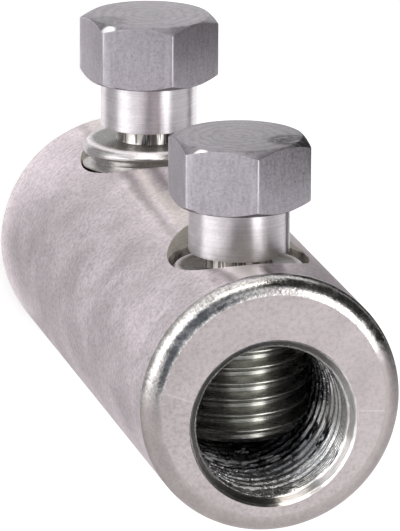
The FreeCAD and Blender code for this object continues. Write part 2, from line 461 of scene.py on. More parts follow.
def bore_cutter(name, from_front):
    """One bore with its chamfered mouth, its rings of grooves and the fine marks the tool left on
    the first part of its wall, closed off past the mouth."""
    outside = 1.0 * MM
    mouth = BORE_RADIUS + MOUTH_CHAMFER
    inner_start = ENTRY_LENGTH + CRISP_RIDGES * RIDGE_PITCH
    grooves = (ENTRY_LENGTH, inner_start, RIDGE_PITCH, RIDGE_PROFILE)
    inner_grooves = (inner_start, BORE_DEPTH, RIDGE_PITCH, INNER_RIDGE_PROFILE)
    marks = (TOOL_MARK_START, TOOL_MARK_END, TOOL_MARK_PITCH, TOOL_MARK_PROFILE)
    places = ring_places(*grooves) + ring_places(*inner_grooves) + ring_places(*marks)
    depths = np.unique(np.round(places, 6))
    radii = BORE_RADIUS + TOOL_MARK_DEPTH * ring_depth(depths, *marks)
    for series in (grooves, inner_grooves):
        radii += GROOVE_DEPTH * ring_depth(depths, *series)
    profile = [
        (0.0, -outside),
        (mouth + outside, -outside),
        (mouth, 0.0),
        (BORE_RADIUS + MOUTH_EDGE, MOUTH_CHAMFER - MOUTH_EDGE),
        (BORE_RADIUS, MOUTH_CHAMFER),
    ]
    profile += [(float(radius), float(depth)) for radius, depth in zip(radii, depths)]
    profile += [(BORE_RADIUS, BORE_DEPTH), (0.0, BORE_DEPTH)]
    if from_front:
        profile = [(radius, SLEEVE_LENGTH - depth) for radius, depth in profile]
    return lathe(name, profile, BORE_SEGMENTS, (0.0, BORE_CENTRE_Y))


def make_sleeve():
    """The sleeve in one mesh: a turned bar less its two bores and its two tapped holes."""
    inner = SLEEVE_RADIUS - END_ROUNDING
    front = SLEEVE_LENGTH - END_ROUNDING
    profile = [(0.0, 0.0)]
    profile += arc((inner, END_ROUNDING), END_ROUNDING, -90, 0, ROUNDING_STEPS)
    profile += arc((inner, front), END_ROUNDING, 0, 90, ROUNDING_STEPS)
    profile += [(0.0, SLEEVE_LENGTH)]
    sleeve = lathe("sleeve_body", profile, SLEEVE_SEGMENTS)
    subtract(sleeve, bore_cutter("rear_bore", False))
    subtract(sleeve, bore_cutter("front_bore", True))
    for node in BODIES:
        subtract(sleeve, tapped_hole_cutter(node))
        subtract(sleeve, countersink_cutter(node))
    weld(sleeve, COARSE)
    shade(sleeve, 30)
    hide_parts("sleeve")
    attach(sleeve, "sleeve")
    return sleeve


def add_drop(mesh, angle, depth, size):
    """One flattened drop near a place on the bore's wall, smeared some way round the bore."""
    turn = math.radians(angle + random.gauss(0, 4.0))
    inward = (depth + random.gauss(0, 0.5)) * MM
    across = DROP_REACH * math.cos(turn)
    down = BORE_CENTRE_Y + DROP_REACH * math.sin(turn)
    flat = Matrix.Diagonal((0.7, random.uniform(1.2, 3.4), random.uniform(0.7, 1.1), 1.0))
    radius = random.uniform(0.6, 1.3) * size * MM
    place = Matrix.Translation((across, down, SLEEVE_LENGTH - inward))
    placed = place @ Matrix.Rotation(turn, 4, "Z") @ flat
    bmesh.ops.create_icosphere(mesh, subdivisions=2, radius=radius, matrix=placed)


def make_drops():
    """Drops of contact grease on the lower wall of the front bore."""
    mesh = bmesh.new()
    for angle, depth, size in DROP_CLUSTERS:
        for _ in range(DROPS_IN_CLUSTER):
            add_drop(mesh, angle, depth, size)
    data = bpy.data.meshes.new("grease_drops")
    mesh.to_mesh(data)
    mesh.free()
    drops = bpy.data.objects.new("grease_drops", data)
    bpy.context.scene.collection.objects.link(drops)
    shade(drops, 60)
    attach(drops, "sleeve")
    return drops


# Scales that leave the distance along an axis out
ROUND_SLEEVE = (1, 1, 0)
ROUND_BOLT = (1, 0, 1)


def rgb(red, green, blue):
    return (red, green, blue, 1.0)


class Surface:
    """One metal surface. All its patterns are laid out in the object's own metres."""

    def __init__(self, name, turned_about=None, anisotropy=0.0, metallic=1.0):
        self.material = bpy.data.materials.new(name)
        self.material.use_nodes = True
        self.tree = self.material.node_tree
        self.shader = self.tree.nodes["Principled BSDF"]
        self.shader.inputs["Metallic"].default_value = metallic
        self.place = self.add("TexCoord").outputs["Object"]
        self.axes = self.add("SeparateXYZ", {"Vector": self.place}).outputs
        if turned_about:
            tangent = self.add("Tangent", direction_type="RADIAL", axis=turned_about)
            self.put(self.shader.inputs["Tangent"], tangent.outputs[0])
            self.shader.inputs["Anisotropic"].default_value = anisotropy
            self.shader.inputs["Anisotropic Rotation"].default_value = 0.25

    def add(self, kind, inputs=None, **settings):
        node = self.tree.nodes.new("ShaderNode" + kind)
        for name, value in settings.items():
            setattr(node, name, value)
        for name, value in (inputs or {}).items():
            self.put(node.inputs[name], value)
        return node

    def put(self, socket, value):
        if isinstance(value, bpy.types.NodeSocket):
            self.tree.links.new(value, socket)
        else:
            socket.default_value = value

    def noise(self, size, stretch=(1, 1, 1), detail=2.0, rough=0.5, distortion=0.0, turn=(0, 0, 0)):
        """Noise of a feature size in metres, squeezed along the axes with a large stretch."""
        angles = [math.radians(a) for a in turn]
        place = self.add("Mapping", {"Vector": self.place, "Rotation": angles, "Scale": stretch})
        inputs = {"Vector": place.outputs[0], "Scale": 1 / size, "Detail": detail}
        inputs.update({"Roughness": rough, "Distortion": distortion})
        return self.add("TexNoise", inputs).outputs["Fac"]

    def distance(self, centre, scale=(1, 1, 1)):
        """Distance from a place, or from an axis through it that a scale of 0 sets along."""
        shift = [-c * s for c, s in zip(centre, scale)]
        place = self.add("Mapping", {"Vector": self.place, "Location": shift, "Scale": scale})
        return self.add("VectorMath", {0: place.outputs[0]}, operation="LENGTH").outputs["Value"]

    def fade(self, value, start, end):
        """0 up to the start and 1 from the end on, or the other way round if the end is lower."""
        low, high = (start, end) if start < end else (end, start)
        levels = (0.0, 1.0) if start < end else (1.0, 0.0)
        node = self.add("MapRange", {"Value": value, "From Min": low, "From Max": high})
        node.inputs["To Min"].default_value, node.inputs["To Max"].default_value = levels
        return node.outputs[0]

    def ramp(self, factor, *stops):
        """Colour or grey level at each place along a factor, from (place, value) stops."""
        node = self.add("ValToRGB", {"Fac": factor})
        elements = node.color_ramp.elements
        while len(elements) < len(stops):
            elements.new(1.0)
        for element, (place, value) in zip(elements, stops):
            element.position = place
            element.color = value if isinstance(value, tuple) else (value, value, value, 1.0)
        return node.outputs["Color"]

    def mix(self, factor, first, second, blend="MIX"):
        node = self.add("Mix", data_type="RGBA", blend_type=blend)
        for socket, value in zip((0, 6, 7), (factor, first, second)):
            self.put(node.inputs[socket], value)
        return node.outputs[2]

    def math(self, operation, *values):
        node = self.add("Math", operation=operation)
        for socket, value in zip(node.inputs, values):
            self.put(socket, value)
        return node.outputs[0]

    def plus(self, first, second):
        return self.math("ADD", first, second)

    def minus(self, first, second):
        return self.math("SUBTRACT", first, second)

    def times(self, first, second):
        return self.math("MULTIPLY", first, second)

    def larger(self, first, second):
        return self.math("MAXIMUM", first, second)

    def away(self, value, middle):
        """How far a value lies from a middle, on either side of it."""
        return self.math("ABSOLUTE", self.minus(value, middle))

    def scratch(self, first, last, width):
        """A straight mark between two (x, y) places of an end face."""
        run, rise = last[0] - first[0], last[1] - first[1]
        turn = -math.atan2(rise, run)
        half = math.hypot(run, rise) / 2
        middle = Vector((first[0] + run / 2, first[1] + rise / 2, 0.0))
        shift = Matrix.Rotation(turn, 3, "Z") @ -middle
        inputs = {"Vector": self.place, "Location": shift, "Rotation": (0, 0, turn)}
        place = self.add("Mapping", inputs)
        along, across, _ = self.add("SeparateXYZ", {"Vector": place.outputs[0]}).outputs
        inside = self.fade(self.math("ABSOLUTE", along), half, half * 0.8)
        return self.times(inside, self.fade(self.math("ABSOLUTE", across), width, 0.0))

    def blend_normals(self, factor, first, second):
        node = self.add("Mix", {0: factor, 4: first, 5: second}, data_type="VECTOR")
        return node.outputs[1]

    def bumps(self, *layers):
        """Stacks (height, size in metres, strength) layers into one normal."""
        normal = None
        for height, size, strength in layers:
            node = self.add("Bump", {"Height": height, "Distance": size, "Strength": strength})
            if normal:
                self.put(node.inputs["Normal"], normal)
            normal = node.outputs[0]
        return normal

    def finish(self, colour, roughness, normal):
        for name, value in (("Base Color", colour), ("Roughness", roughness), ("Normal", normal)):
            self.put(self.shader.inputs[name], value)
        return self.material


def from_bore_axis(s):
    return s.distance((0.0, BORE_CENTRE_Y, 0.0), ROUND_SLEEVE)


def from_bolt_axis(s, node):
    return s.distance((0.0, 0.0, bolt_place(node)[1]), ROUND_BOLT)


def above_tip(s, node):
    return s.minus(bolt_place(node)[0], s.axes["Y"])


def painted_highlight_stripe(s, colour, blotch, speckle):
    """A stripe painted bright along the bolts' side, a painted highlight that stands for a reflection,
    between borders of painted shade. Near the front it lies further over and is lighter, and near the
    rear it is narrower."""
    front = s.fade(s.axes["Z"], 57 * MM, 64 * MM)
    across = s.plus(s.axes["X"], s.times(blotch, 1.2 * MM))
    across = s.plus(across, s.times(front, 1.3 * MM))
    narrow = s.fade(s.axes["Z"], 44 * MM, 22 * MM)
    aside = s.plus(s.away(across, PAINTED_STRIPE_X), s.times(narrow, 0.6 * MM))
    top = s.fade(s.axes["Y"], -10.0 * MM, -12.0 * MM)
    # Painted shade: darker borders beside the stripe.
    painted_shade_border = s.times(top, s.fade(s.away(aside, 1.9 * MM), 0.7 * MM, 0.1 * MM))
    painted_shade_border = s.times(painted_shade_border, s.ramp(front, (0.0, 0.42), (1.0, 0.75)))
    colour = s.mix(painted_shade_border, colour, rgb(0.24, 0.225, 0.20))
    # Painted highlight: the stripe's light colour, lighter still near the front.
    painted_stripe_colour = s.ramp(speckle, (0.32, rgb(0.57, 0.525, 0.50)), (0.62, rgb(0.77, 0.715, 0.68)))
    painted_stripe_colour = s.mix(front, painted_stripe_colour, rgb(0.99, 0.93, 0.90))
    painted_stripe_mask = s.times(top, s.fade(aside, 1.4 * MM, 0.8 * MM))
    return s.mix(s.times(painted_stripe_mask, 0.9), colour, painted_stripe_colour)


def side_metal():
    """Bar stock, tumbled to a dull skin: turning marks round it, fine speckle, nicks and soft
    blotches."""
    s = Surface("sleeve_side", "Z", 0.9)
    blotch = s.noise(6 * MM, detail=3.0, rough=0.55, distortion=0.6)
    marks = s.noise(2.6 * MM, (1, 1, 11), detail=3.0, rough=0.65)
    speckle = s.noise(0.40 * MM, detail=3.0, rough=0.75)
    nicks = s.noise(1.3 * MM, (1, 1, 5), detail=3.0, rough=0.75, distortion=1.6, turn=(0, 0, 15))
    nicks = s.ramp(nicks, (0.63, 0.0), (0.69, 1.0))
    colour = s.ramp(blotch, (0.32, rgb(0.755, 0.676, 0.712)), (0.66, rgb(0.915, 0.820, 0.864)))
    colour = s.mix(0.55, colour, s.ramp(speckle, (0.34, 0.42), (0.58, 1.0)), "MULTIPLY")
    colour = s.mix(0.32, colour, s.ramp(marks, (0.32, 0.58), (0.60, 1.0)), "MULTIPLY")
    colour = s.mix(s.times(nicks, 0.5), colour, rgb(0.26, 0.245, 0.25))
    # A painted highlight stripe with painted shade borders along the top of the side.
    colour = painted_highlight_stripe(s, colour, blotch, speckle)
    rough = s.ramp(s.mix(0.5, blotch, marks), (0.3, 0.30), (0.7, 0.40))
    normal = s.bumps((speckle, 0.012 * MM, 0.4), (marks, 0.02 * MM, 0.35), (blotch, 0.06 * MM, 0.3))
    return s.finish(colour, rough, normal)


def face_metal():
    """The sawn and tumbled end faces: even dull grey, with a few light scratches."""
    s = Surface("sleeve_face")
    blotch = s.noise(4 * MM, detail=4.0, rough=0.6)
    speckle = s.noise(0.45 * MM, detail=3.0, rough=0.75)
    lines = s.noise(2.2 * MM, (1, 9, 1), detail=4.0, rough=0.7, distortion=1.4, turn=(0, 0, 21))
    lines = s.ramp(lines, (0.62, 0.0), (0.70, 1.0))
    for first, last in FACE_SCRATCHES:
        lines = s.larger(lines, s.scratch(first, last, 0.10 * MM))
    colour = s.ramp(blotch, (0.3, rgb(0.462, 0.412, 0.416)), (0.7, rgb(0.538, 0.483, 0.488)))
    colour = s.mix(0.70, colour, s.ramp(speckle, (0.32, 0.52), (0.60, 1.0)), "MULTIPLY")
    colour = s.mix(s.times(lines, 0.40), colour, rgb(0.72, 0.68, 0.68))
    rough = s.ramp(speckle, (0.3, 0.46), (0.7, 0.60))
    normal = s.bumps((speckle, 0.015 * MM, 0.5), (lines, 0.02 * MM, 0.4))
    return s.finish(colour, rough, normal)


def rounding_metal():
    """The sleeve's rounded ends, form-turned and bright, rubbed dull on the side away from the
    bolts."""
    s = Surface("sleeve_rounding", "Z", 0.4)
    blotch = s.noise(1.8 * MM, detail=4.0, rough=0.65, distortion=0.8)
    rings = s.noise(3.0 * MM, (1, 1, 14), detail=2.0)
    speckle = s.noise(0.3 * MM, detail=3.0, rough=0.75)
    across = s.minus(s.axes["Y"], s.times(s.axes["X"], 0.14))
    across = s.plus(across, s.times(blotch, 4 * MM))
    dull = s.fade(across, -3.2 * MM, 0.2 * MM)
    colour = s.ramp(blotch, (0.35, rgb(0.52, 0.49, 0.48)), (0.62, rgb(0.76, 0.74, 0.73)))
    worn = s.ramp(blotch, (0.3, rgb(0.385, 0.346, 0.343)), (0.7, rgb(0.465, 0.420, 0.416)))
    colour = s.mix(dull, colour, worn)
    grain = s.ramp(dull, (0.0, 0.8), (1.0, 0.3))
    colour = s.mix(grain, colour, s.ramp(speckle, (0.38, 0.45), (0.58, 1.0)), "MULTIPLY")
    bright = s.ramp(blotch, (0.35, 0.13), (0.7, 0.30))
    rough = s.mix(dull, bright, s.ramp(speckle, (0.3, 0.46), (0.7, 0.60)))
    normal = s.bumps((speckle, 0.03 * MM, 0.6), (rings, 0.03 * MM, 0.4), (blotch, 0.10 * MM, 0.45))
    return s.finish(colour, rough, normal)


def mouth_metal():
    """The chamfer of each bore's mouth, bright from the tool, with fine rings and a darker ring
    painted in its middle, a painted dark reflection."""
    s = Surface("sleeve_mouth", "Z", 0.5)
    rings = s.noise(2.0 * MM, (1, 1, 22), detail=3.0, rough=0.6)
    speckle = s.noise(0.3 * MM, detail=2.0, rough=0.7)
    colour = s.ramp(rings, (0.32, rgb(0.42, 0.40, 0.395)), (0.60, rgb(0.92, 0.89, 0.88)))
    blotch = s.noise(2.5 * MM, detail=3.0, rough=0.6)
    # Painted dark reflection: a darker ring in the chamfer's middle.
    from_wall = s.minus(from_bore_axis(s), BORE_RADIUS)
    from_wall = s.plus(from_wall, s.times(s.minus(blotch, 0.5), 0.4 * MM))
    aside = s.away(from_wall, 0.48 * MOUTH_CHAMFER)
    middle = s.fade(aside, 0.32 * MOUTH_CHAMFER, 0.22 * MOUTH_CHAMFER)
    colour = s.mix(s.times(middle, 0.8), colour, rgb(0.19, 0.18, 0.175))
    rough = s.ramp(speckle, (0.3, 0.16), (0.7, 0.26))
    return s.finish(colour, rough, s.bumps((rings, 0.02 * MM, 0.4)))


def grease_cover(s, from_middle, low, blotch):
    """1 where contact grease covers the bore and 0 where the wall is clean. Its ragged edge comes
    nearest to the mouth low on one side, where it wasn't wiped."""
    wiped = s.minus(s.times(low, 0.25), s.times(s.axes["X"], 1.1))
    wiped = s.minus(wiped, s.times(s.fade(low, 3.0 * MM, 0.5 * MM), 2.0 * MM))
    wiped = s.larger(wiped, s.times(low, -0.75))
    edge = s.plus(from_middle, s.times(blotch, 5 * MM))
    edge = s.plus(edge, s.times(wiped, 2.6))
    return s.fade(edge, 47.0 * MM, 45.0 * MM)


def clean_bore_colour(s, low, painted_reflection_low, blotch, rings):
    """The colour of the clean wall; low down it is painted near white with dark streaks, a painted
    reflection.
    """
    dry = s.ramp(blotch, (0.3, rgb(0.46, 0.44, 0.435)), (0.7, rgb(0.60, 0.575, 0.57)))
    painted_white_reflection = s.ramp(blotch, (0.35, rgb(0.94, 0.93, 0.925)), (0.6, rgb(1.0, 0.99, 0.985)))
    colour = s.mix(painted_reflection_low, dry, painted_white_reflection)
    colour = s.mix(0.40, colour, s.ramp(rings, (0.34, 0.20), (0.52, 1.0)), "MULTIPLY")
    # Dark streaks across the painted reflection.
    streaks = s.noise(5.0 * MM, (1, 1, 7), detail=4.0, rough=0.7, distortion=0.5)
    streaks = s.ramp(streaks, (0.56, 0.0), (0.59, 1.0))
    streaks = s.times(streaks, s.fade(low, 1.5 * MM, 2.5 * MM))
    return s.mix(streaks, colour, rgb(0.03, 0.03, 0.033))


def painted_flank_highlights(s, from_middle, blotch):
    """The grooves' flanks near the mouth, painted bright here and there through the grease: painted
    highlights.
    """
    aside = s.away(from_bore_axis(s), BORE_RADIUS + GROOVE_DEPTH / 2)
    flank = s.fade(aside, 0.11 * MM, 0.07 * MM)
    flank = s.times(flank, s.fade(from_middle, 22 * MM, 26 * MM))
    return s.times(flank, s.ramp(blotch, (0.44, 0.10), (0.52, 1.0)))


def bore_metal():
    """The bore, bright from the tool near its mouth and black with contact grease further in, with
    painted highlights on grains of the grease and on the grooves' flanks, and a painted reflection low
    near the mouth."""
    s = Surface("sleeve_bore", "Z", 0.3)
    blotch = s.noise(3.2 * MM, detail=4.0, rough=0.6, distortion=1.0)
    rings = s.noise(2.4 * MM, (1, 1, 16), detail=3.0, rough=0.6)
    speckle = s.noise(0.35 * MM, detail=3.0, rough=0.7)
    lumps = s.noise(1.1 * MM, (1, 1, 1), detail=3.0, rough=0.6, distortion=1.8)
    grains_and_painted_glints = s.ramp(lumps, (0.60, 0.0), (0.66, 1.0))
    from_middle = s.away(s.axes["Z"], SLEEVE_LENGTH / 2)
    low = s.minus(s.axes["Y"], BORE_CENTRE_Y)
    grease = grease_cover(s, from_middle, low, blotch)
    # Painted reflection: low in the bore near the mouth the wall is painted near white.
    painted_reflection_low = s.fade(low, 1.2 * MM, 3.2 * MM)
    metallic = s.ramp(s.larger(grease, painted_reflection_low), (0.0, 0.35), (1.0, 1.0))
    s.put(s.shader.inputs["Metallic"], metallic)
    # Painted highlights: grains of the grease and the grooves' flanks painted near white.
    painted_bright_spots = s.larger(grains_and_painted_glints, painted_flank_highlights(s, from_middle, blotch))
    grease_with_painted_glints = s.mix(painted_bright_spots, rgb(0.28, 0.275, 0.285), rgb(0.92, 0.91, 0.90))
    colour = s.mix(grease, clean_bore_colour(s, low, painted_reflection_low, blotch, rings), grease_with_painted_glints)
    bright = s.ramp(speckle, (0.3, 0.17), (0.7, 0.32))
    rough = s.mix(grease, bright, s.ramp(blotch, (0.3, 0.12), (0.7, 0.28)))
    normal = s.bumps((rings, 0.05 * MM, 0.5), (speckle, 0.015 * MM, 0.4))
    scored = s.bumps((rings, 0.10 * MM, 0.8), (speckle, 0.015 * MM, 0.4))
    normal = s.blend_normals(painted_reflection_low, normal, scored)
    lumpy = s.bumps((blotch, 0.10 * MM, 0.5), (lumps, 0.40 * MM, 1.0), (grains_and_painted_glints, 0.12 * MM, 1.0))
    return s.finish(colour, rough, s.blend_normals(grease, normal, lumpy))


def painted_glint_drop_surface():
    """Grease drops painted near white: painted glints on the dark grease."""
    s = Surface("grease_drop", metallic=0.1)
    grain = s.noise(0.25 * MM, detail=2.0)
    # Painted glints: the drops' colour is near white.
    colour = s.ramp(grain, (0.35, rgb(0.80, 0.79, 0.80)), (0.6, rgb(0.97, 0.96, 0.97)))
    rough = s.ramp(grain, (0.3, 0.22), (0.7, 0.40))
    return s.finish(colour, rough, s.bumps((grain, 0.02 * MM, 0.5)))


def hole_metal():
    """The tapped holes and their countersinks: grey, and painted near black where the thread starts, a
    painted shade in the gap round the bolt."""
    s = Surface("sleeve_hole", "Y", 0.3, metallic=0.4)
    blotch = s.noise(1.2 * MM, detail=3.0, rough=0.65)
    rings = s.noise(2.0 * MM, (1, 14, 1), detail=3.0, rough=0.6)
    from_axis = s.math("MINIMUM", *[from_bolt_axis(s, node) for node in BODIES])
    from_axis = s.plus(from_axis, s.times(blotch, 0.5 * MM))
    # Painted shade: near black inside the start of the thread, in the gap round the bolt.
    clean = s.fade(from_axis, 7.22 * MM, 7.38 * MM)
    colour = s.ramp(blotch, (0.3, rgb(0.56, 0.525, 0.46)), (0.7, rgb(0.76, 0.72, 0.64)))
    colour = s.mix(0.4, colour, s.ramp(rings, (0.32, 0.5), (0.62, 1.0)), "MULTIPLY")
    colour = s.mix(clean, rgb(0.07, 0.065, 0.055), colour)
    rough = s.ramp(blotch, (0.3, 0.42), (0.7, 0.60))
    return s.finish(colour, rough, s.bumps((blotch, 0.04 * MM, 0.5), (rings, 0.02 * MM, 0.4)))


def thread_metal(node):
    """The bolt's threaded body: bright flanks with rolled marks, stained olive by oil below its top,
    and a shoulder painted pale, a painted highlight, with painted shade where the neck starts."""
    s = Surface(node + "_thread", "Y", 0.35)
    blotch = s.noise(2.4 * MM, detail=3.0, rough=0.6, distortion=0.5)
    rings = s.noise(2.2 * MM, (1, 15, 1), detail=3.0, rough=0.6)
    height = above_tip(s, node)
    clean = s.fade(height, BODY_LENGTH - 3.0 * MM, BODY_LENGTH - 1.2 * MM)
    # Painted highlight: the shoulder's top is painted pale and nearly matt.
    end = s.fade(height, BODY_LENGTH - 0.25 * MM, BODY_LENGTH - 0.10 * MM)
    s.put(s.shader.inputs["Metallic"], s.ramp(end, (0.0, 1.0), (1.0, 0.1)))
    olive = s.ramp(blotch, (0.3, rgb(0.33, 0.325, 0.295)), (0.7, rgb(0.53, 0.52, 0.485)))
    bare = s.ramp(blotch, (0.3, rgb(0.50, 0.475, 0.485)), (0.7, rgb(0.70, 0.67, 0.68)))
    colour = s.mix(clean, olive, bare)
    colour = s.mix(0.45, colour, s.ramp(rings, (0.32, 0.5), (0.62, 1.0)), "MULTIPLY")
    # Painted shade on the shoulder where the neck starts, under the shank.
    corner = s.fade(from_bolt_axis(s, node), 6.3 * MM, 5.8 * MM)
    colour = s.mix(s.times(end, 0.9), colour, rgb(0.97, 0.91, 0.94))
    colour = s.mix(s.times(corner, end), colour, rgb(0.16, 0.15, 0.14))
    rough = s.ramp(rings, (0.3, 0.20), (0.7, 0.36))
    return s.finish(colour, rough, s.bumps((rings, 0.04 * MM, 0.5), (blotch, 0.05 * MM, 0.3)))


def shank_metal(node):
    """Turned bright: fine rings round the shank, and on the neck vertical streaks of painted highlight
    between painted shade.
    """
    s = Surface(node + "_shank", "Y", 0.9)
    blotch = s.noise(2.0 * MM, detail=3.0, rough=0.6)
    rings = s.noise(5.0 * MM, (0.5, 30, 0.5), detail=4.0, rough=0.75)
    speckle = s.noise(0.3 * MM, detail=2.0, rough=0.7)
    colour = s.ramp(rings, (0.3, rgb(0.76, 0.715, 0.75)), (0.62, rgb(0.97, 0.925, 0.965)))
    colour = s.mix(0.30, colour, s.ramp(speckle, (0.35, 0.7), (0.65, 1.0)), "MULTIPLY")
    colour = s.mix(0.35, colour, s.ramp(blotch, (0.32, 0.6), (0.6, 1.0)), "MULTIPLY")
    neck = s.fade(above_tip(s, node), NECK_TOP + 0.1 * MM, NECK_TOP - 0.1 * MM)
    # Painted highlights and painted shade on the neck, in vertical streaks.
    painted_neck_glints = s.noise(1.1 * MM, (1, 0.1, 1), detail=3.0, rough=0.8)
    painted_neck_glints = s.ramp(painted_neck_glints, (0.46, rgb(0.24, 0.22, 0.20)), (0.52, rgb(0.96, 0.92, 0.88)))
    colour = s.mix(neck, colour, painted_neck_glints)
    rough = s.ramp(s.mix(0.5, blotch, rings), (0.3, 0.30), (0.7, 0.42))
    return s.finish(colour, rough, s.bumps((rings, 0.02 * MM, 0.3), (speckle, 0.006 * MM, 0.3)))


def flat_metal(node):
    """The drawn flats of the hexagon: dull and speckled, with edges rubbed bright."""
    s = Surface(node + "_flats")
    from_axis = from_bolt_axis(s, node)
    blotch = s.noise(3.5 * MM, detail=3.0, rough=0.6)
    marks = s.noise(2.2 * MM, (6, 1, 6), detail=4.0, rough=0.75, distortion=0.4)
    speckle = s.noise(0.28 * MM, detail=3.0, rough=0.8)
    rub = s.noise(1.3 * MM, (1, 0.4, 1), detail=3.0, rough=0.7)
    colour = s.ramp(marks, (0.3, rgb(0.495, 0.460, 0.503)), (0.68, rgb(0.620, 0.577, 0.636)))
    colour = s.mix(0.4, colour, s.ramp(blotch, (0.3, 0.78), (0.7, 1.0)), "MULTIPLY")
    colour = s.mix(0.50, colour, s.ramp(speckle, (0.34, 0.45), (0.60, 1.0)), "MULTIPLY")
    corner = s.fade(s.plus(from_axis, s.times(rub, 0.34 * MM)), 7.28 * MM, 7.50 * MM)
    slope = s.times(s.minus(from_axis, HEAD_FACE_RADIUS), HEAD_CHAMFER_SLOPE)
    brim = s.minus(s.minus(HEAD_TOP, above_tip(s, node)), slope)
    brim = s.fade(s.plus(brim, s.times(rub, -0.3 * MM)), 0.0, -0.10 * MM)
    worn = s.times(s.larger(corner, brim), s.ramp(rub, (0.38, 0.10), (0.62, 0.70)))
    colour = s.mix(worn, colour, rgb(0.64, 0.61, 0.65))
    rough = s.mix(worn, s.ramp(speckle, (0.3, 0.42), (0.7, 0.56)), rgb(0.38, 0.38, 0.38))
    return s.finish(colour, rough, s.bumps((speckle, 0.02 * MM, 0.6), (marks, 0.02 * MM, 0.3)))


def smudged(s, node, colour):
    """A dark, ragged smudge on the head's top face."""
    x, z, strength = SMUDGES[node]
    smudge = s.noise(1.3 * MM, (1, 1, 2.2), detail=4.0, rough=0.75, distortion=1.0)
    smudge = s.ramp(smudge, (0.43, 0.0), (0.48, 1.0))
    near = s.fade(s.distance((x, 0.0, z), ROUND_BOLT), 2.6 * MM, 1.7 * MM)
    smudge = s.times(smudge, near)
    return s.mix(s.times(smudge, strength), colour, rgb(0.05, 0.045, 0.05))


def darker_chamfer_and_painted_glint(s, node, colour, from_axis, rub):
    """The chamfer round the head's top face, darker than the face, with one painted glint, a painted
    highlight.
    """
    ragged = s.plus(from_axis, s.times(rub, 0.3 * MM))
    chamfer = s.fade(ragged, HEAD_FACE_RADIUS + 0.10 * MM, HEAD_FACE_RADIUS + 0.25 * MM)
    colour = s.mix(s.times(chamfer, 0.22), colour, rgb(0.13, 0.12, 0.13))
    # Painted highlight: a near white glint on the chamfer at one place.
    x, z = PAINTED_GLINTS[node]
    painted_glint = s.fade(s.distance((x, 0.0, z), ROUND_BOLT), 0.9 * MM, 0.6 * MM)
    outer = s.fade(from_axis, HEAD_FACE_RADIUS + 0.1 * MM, HEAD_FACE_RADIUS + 0.2 * MM)
    return s.mix(s.times(painted_glint, outer), colour, rgb(0.96, 0.95, 0.96))


def top_metal(node):
    """The heads' top and under faces: cut off in the lathe, with ring marks, rubs, smudges and a
    painted glint.
    """
    s = Surface(node + "_top")
    from_axis = from_bolt_axis(s, node)
    blotch = s.noise(2.4 * MM, detail=4.0, rough=0.65, distortion=1.5)
    speckle = s.noise(0.4 * MM, detail=3.0, rough=0.8)
    rub = s.noise(1.0 * MM, detail=3.0, rough=0.7)
    swirl = s.plus(s.math("DIVIDE", from_axis, 0.55 * MM), s.times(blotch, 5.0))
    swirl = s.math("SINE", s.times(swirl, TURN / 2))
    swirl = s.ramp(s.times(s.plus(swirl, 1.0), 0.5), (0.1, 0.55), (0.6, 1.0))
    colour = s.ramp(blotch, (0.3, rgb(0.275, 0.258, 0.285)), (0.62, rgb(0.415, 0.388, 0.422)))
    colour = s.mix(s.times(rub, 0.8), colour, swirl, "MULTIPLY")
    colour = s.mix(0.45, colour, s.ramp(speckle, (0.3, 0.55), (0.68, 1.0)), "MULTIPLY")
    colour = smudged(s, node, colour)
    colour = darker_chamfer_and_painted_glint(s, node, colour, from_axis, rub)
    rough = s.ramp(blotch, (0.3, 0.36), (0.7, 0.52))
    return s.finish(colour, rough, s.bumps((speckle, 0.02 * MM, 0.6), (blotch, 0.05 * MM, 0.4)))


def paint(obj, surfaces, choose):
    """Gives each polygon the surface that choose names for its centre and normal."""
    names = list(surfaces)
    obj.data.materials.clear()
    for name in names:
        obj.data.materials.append(surfaces[name])
    for polygon in obj.data.polygons:
        polygon.material_index = names.index(choose(polygon.center, polygon.normal))


def sleeve_zone(centre, normal):
    from_axis = math.hypot(centre.x, centre.y)
    from_bore = math.hypot(centre.x, centre.y - BORE_CENTRE_Y)
    from_end = min(centre.z, SLEEVE_LENGTH - centre.z)
    if from_bore < BORE_RADIUS + MOUTH_CHAMFER - FINE and from_end > FINE:
        return "bore" if from_end > MOUTH_CHAMFER - WALL_MARGIN else "mouth"
    if abs(normal.z) > 0.999:
        return "face"
    if from_end < END_ROUNDING:
        return "rounding"
    outward = (normal.x * centre.x + normal.y * centre.y) / from_axis
    on_side = outward > 0.99 and from_axis > SLEEVE_RADIUS - SIDE_MARGIN
    return "side" if on_side else "hole"


def bolt_zone(node):
    tip_y = bolt_place(node)[0]

    def zone(centre, normal):
        height = tip_y - centre.y
        if height < BODY_LENGTH + SHOULDER_MARGIN:
            return "thread"
        if height < SHANK_TOP - HEAD_MARGIN:
            return "shank"
        return "flats" if abs(normal.y) < 0.3 else "top"

    return zone


def paint_sleeve(sleeve):
    surfaces = {
        "side": side_metal(),
        "face": face_metal(),
        "rounding": rounding_metal(),
        "mouth": mouth_metal(),
        "bore": bore_metal(),
        "hole": hole_metal(),
    }
    paint(sleeve, surfaces, sleeve_zone)


def paint_bolt(bolt, node):
    surfaces = {
        "thread": thread_metal(node),
        "shank": shank_metal(node),
        "flats": flat_metal(node),
        "top": top_metal(node),
    }
    paint(bolt, surfaces, bolt_zone(node))


# Camera at the photograph's place: right, up and back are its own axes in the sleeve's frame
IMAGE_WIDTH, IMAGE_HEIGHT = 400, 531
CAMERA_TARGET = Vector((-0.69, -5.37, 34.50)) * MM
CAMERA_DISTANCE = 691.8 * MM
CAMERA_UP = Vector((-0.0606, -0.9632, -0.2620))
CAMERA_BACK = Vector((0.2324, -0.2689, 0.9347))
FOCAL_PIXELS = 6673.0

